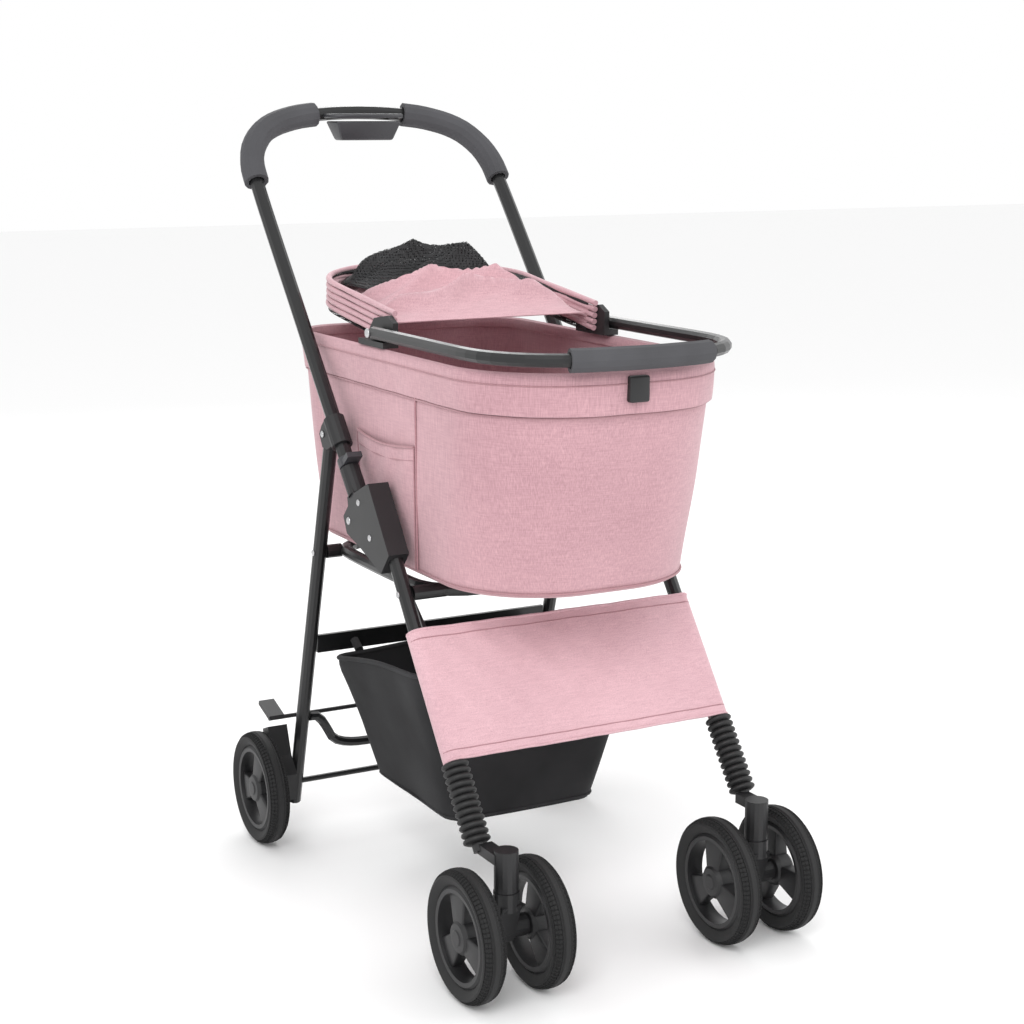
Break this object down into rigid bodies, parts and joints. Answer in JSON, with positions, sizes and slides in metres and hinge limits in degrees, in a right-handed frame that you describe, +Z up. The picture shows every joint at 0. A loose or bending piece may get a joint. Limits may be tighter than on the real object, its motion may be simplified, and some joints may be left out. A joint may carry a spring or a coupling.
{
  "type": "pet stroller",
  "caption": "Folding pet stroller with a lift-off carrier, a fold-back hood on bows, swivelling twin front casters, sprung front legs and an under-seat basket.",
  "frame": {"origin": "centre of the bounding box on the floor", "axes": "+Z up, +X to the left of the person pushing, the front of the stroller faces -Y"},
  "size_m": [0.5, 0.8301, 0.9919],
  "materials": {
    "bellows": "satin black",
    "black_cloth": "matt black weave",
    "foam": "charcoal foam",
    "pad_cloth": "plain padded cloth",
    "paint": "gloss black powder coat",
    "pink_cloth": "dusty pink linen-look weave",
    "plastic": "satin black moulding",
    "rubber": "matt near-black"
  },
  "bodies": {
    "chassis": {"seat_ring": "paint"},
    "front_frame": {"front_leg_left": "paint", "front_leg_right": "paint", "lock_housing_left": "plastic", "lock_housing_right": "plastic", "suspension_bellows_left": "bellows", "suspension_bellows_right": "bellows", "footrest_panel": "pink_cloth"},
    "push_handle": {"push_handle": "paint", "handle_grip_left": "foam", "handle_grip_right": "foam", "leg_collar_left": "plastic", "leg_collar_right": "plastic", "lock_knuckle_left": "plastic", "lock_knuckle_right": "plastic", "console_tray": "plastic"},
    "rear_frame": {"rear_leg_left": "paint", "rear_leg_right": "paint", "brake_housing_left": "plastic", "brake_housing_right": "plastic", "rear_axle": "paint", "rear_cross_tube": "paint", "basket_rear_bar": "paint", "basket": "black_cloth"},
    "strut_left": {"caster_strut_left": "plastic"},
    "fork_left": {"caster_fork_left": "plastic"},
    "front_wheel_left_outer": {"front_left_outer_tyre": "rubber", "front_left_outer_hub": "plastic"},
    "front_wheel_left_inner": {"front_left_inner_tyre": "rubber", "front_left_inner_hub": "plastic"},
    "rear_wheel_left": {"rear_left_tyre": "rubber", "rear_left_hub": "plastic"},
    "lock_release_left": {"lock_tab_left": "plastic"},
    "strut_right": {"caster_strut_right": "plastic"},
    "fork_right": {"caster_fork_right": "plastic"},
    "front_wheel_right_outer": {"front_right_outer_tyre": "rubber", "front_right_outer_hub": "plastic"},
    "front_wheel_right_inner": {"front_right_inner_tyre": "rubber", "front_right_inner_hub": "plastic"},
    "rear_wheel_right": {"rear_right_tyre": "rubber", "rear_right_hub": "plastic"},
    "lock_release_right": {"lock_tab_right": "plastic"},
    "brake": {"brake_bar": "plastic"},
    "transport_catch": {"fold_hook": "plastic"},
    "carrier": {"carrier_tub": "pink_cloth", "carrier_rim": "pink_cloth", "base_board": "plastic", "floor_pad": "pad_cloth", "hinge_bracket_left": "plastic", "hinge_bracket_right": "plastic", "hood_canopy": "pink_cloth"},
    "bail": {"bail_tube": "paint", "bail_grip": "foam"},
    "hood_bow_rear_frame": {"hood_bow_rear": "paint"},
    "hood_bow_mid_rear_frame": {"hood_bow_mid_rear": "paint"},
    "hood_bow_mid_front_frame": {"hood_bow_mid_front": "paint"},
    "hood_bow_front_frame": {"hood_bow_front": "paint"},
    "hood_front_ring_frame": {"hood_front_ring": "paint"}
  },
  "joints": [
    {"name": "front_fold", "type": "hinge", "parent": "chassis", "child": "front_frame", "pos_m": [0, -0.121, 0.42], "axis": [1, 0, 0], "range_deg": [0, 47]},
    {"name": "handle_fold", "type": "hinge", "parent": "front_frame", "child": "push_handle", "pos_m": [0, 0.01, 0.486], "axis": [-1, 0, 0], "range_deg": [0, 84]},
    {"name": "rear_fold", "type": "hinge", "parent": "chassis", "child": "rear_frame", "pos_m": [0, 0.137, 0.42], "axis": [1, 0, 0], "range_deg": [0, 20]},
    {"name": "suspension_left", "type": "slide", "parent": "front_frame", "child": "strut_left", "axis": [0, 0.5934, 0.8049], "range_m": [0, 0.01], "stiffness_N_per_m": 9000, "deforming": ["suspension_bellows_left"]},
    {"name": "caster_swivel_left", "type": "hinge", "parent": "strut_left", "child": "fork_left", "pos_m": [0.17, -0.352, 0.077], "axis": [0, 0, 1], "continuous": true},
    {"name": "front_wheel_spin_left_outer", "type": "hinge", "parent": "fork_left", "child": "front_wheel_left_outer", "pos_m": [0.214, -0.339, 0.077], "axis": [1, 0, 0], "continuous": true},
    {"name": "front_wheel_spin_left_inner", "type": "hinge", "parent": "fork_left", "child": "front_wheel_left_inner", "pos_m": [0.126, -0.339, 0.077], "axis": [1, 0, 0], "continuous": true},
    {"name": "rear_wheel_spin_left", "type": "hinge", "parent": "rear_frame", "child": "rear_wheel_left", "pos_m": [0.235, 0.235, 0.077], "axis": [1, 0, 0], "continuous": true},
    {"name": "lock_release_left", "type": "slide", "parent": "push_handle", "child": "lock_release_left", "axis": [0, 0.6481, 0.7615], "range_m": [0, 0.01], "stiffness_N_per_m": 400},
    {"name": "suspension_right", "type": "slide", "parent": "front_frame", "child": "strut_right", "axis": [0, 0.5934, 0.8049], "range_m": [0, 0.01], "stiffness_N_per_m": 9000, "deforming": ["suspension_bellows_right"]},
    {"name": "caster_swivel_right", "type": "hinge", "parent": "strut_right", "child": "fork_right", "pos_m": [-0.17, -0.352, 0.077], "axis": [0, 0, 1], "continuous": true},
    {"name": "front_wheel_spin_right_outer", "type": "hinge", "parent": "fork_right", "child": "front_wheel_right_outer", "pos_m": [-0.214, -0.339, 0.077], "axis": [1, 0, 0], "continuous": true},
    {"name": "front_wheel_spin_right_inner", "type": "hinge", "parent": "fork_right", "child": "front_wheel_right_inner", "pos_m": [-0.126, -0.339, 0.077], "axis": [1, 0, 0], "continuous": true},
    {"name": "rear_wheel_spin_right", "type": "hinge", "parent": "rear_frame", "child": "rear_wheel_right", "pos_m": [-0.235, 0.235, 0.077], "axis": [1, 0, 0], "continuous": true},
    {"name": "lock_release_right", "type": "slide", "parent": "push_handle", "child": "lock_release_right", "axis": [0, 0.6481, 0.7615], "range_m": [0, 0.01], "stiffness_N_per_m": 400},
    {"name": "brake_press", "type": "hinge", "parent": "rear_frame", "child": "brake", "pos_m": [0, 0.248, 0.168], "axis": [-1, 0, 0], "range_deg": [0, 18]},
    {"name": "catch_turn", "type": "hinge", "parent": "front_frame", "child": "transport_catch", "pos_m": [-0.166, -0.16531, 0.35451], "axis": [-1, 0, 0], "range_deg": [0, 45]},
    {"name": "carrier_lift", "type": "slide", "parent": "chassis", "child": "carrier", "axis": [0, -0.34, 0.9404], "range_m": [0, 0.4]},
    {"name": "bail_swing", "type": "hinge", "parent": "carrier", "child": "bail", "pos_m": [0, 0.005, 0.7165], "axis": [-1, 0, 0], "range_deg": [0, 90]},
    {"name": "hood_open", "type": "hinge", "parent": "carrier", "child": "hood_bow_rear_frame", "pos_m": [0, -0.012, 0.709], "axis": [1, 0, 0], "range_deg": [0, 53], "deforming": ["hood_canopy"]},
    {"name": "hood_follow_mid_rear", "type": "hinge", "parent": "hood_bow_rear_frame", "child": "hood_bow_mid_rear_frame", "pos_m": [0, -0.01298, 0.71694], "axis": [1, 0, 0], "range_deg": [0, 28.5]},
    {"name": "hood_follow_mid_front", "type": "hinge", "parent": "hood_bow_mid_rear_frame", "child": "hood_bow_mid_front_frame", "pos_m": [0, -0.01395, 0.72488], "axis": [1, 0, 0], "range_deg": [0, 27.5]},
    {"name": "hood_follow_front", "type": "hinge", "parent": "hood_bow_mid_front_frame", "child": "hood_bow_front_frame", "pos_m": [0, -0.01493, 0.73282], "axis": [1, 0, 0], "range_deg": [0, 27.5]},
    {"name": "hood_follow_ring", "type": "hinge", "parent": "hood_bow_front_frame", "child": "hood_front_ring_frame", "pos_m": [0, -0.0159, 0.74076], "axis": [1, 0, 0], "range_deg": [0, 36.5]}
  ],
  "couplings": [
    {"joint": "front_fold", "follows": "handle_fold", "ratio": 0.512},
    {"joint": "rear_fold", "follows": "handle_fold", "ratio": 0.212},
    {"joint": "hood_follow_mid_rear", "follows": "hood_open", "ratio": 0.5283},
    {"joint": "hood_follow_mid_front", "follows": "hood_open", "ratio": 0.5094},
    {"joint": "hood_follow_front", "follows": "hood_open", "ratio": 0.5094},
    {"joint": "hood_follow_ring", "follows": "hood_open", "ratio": 0.6792}
  ]
}
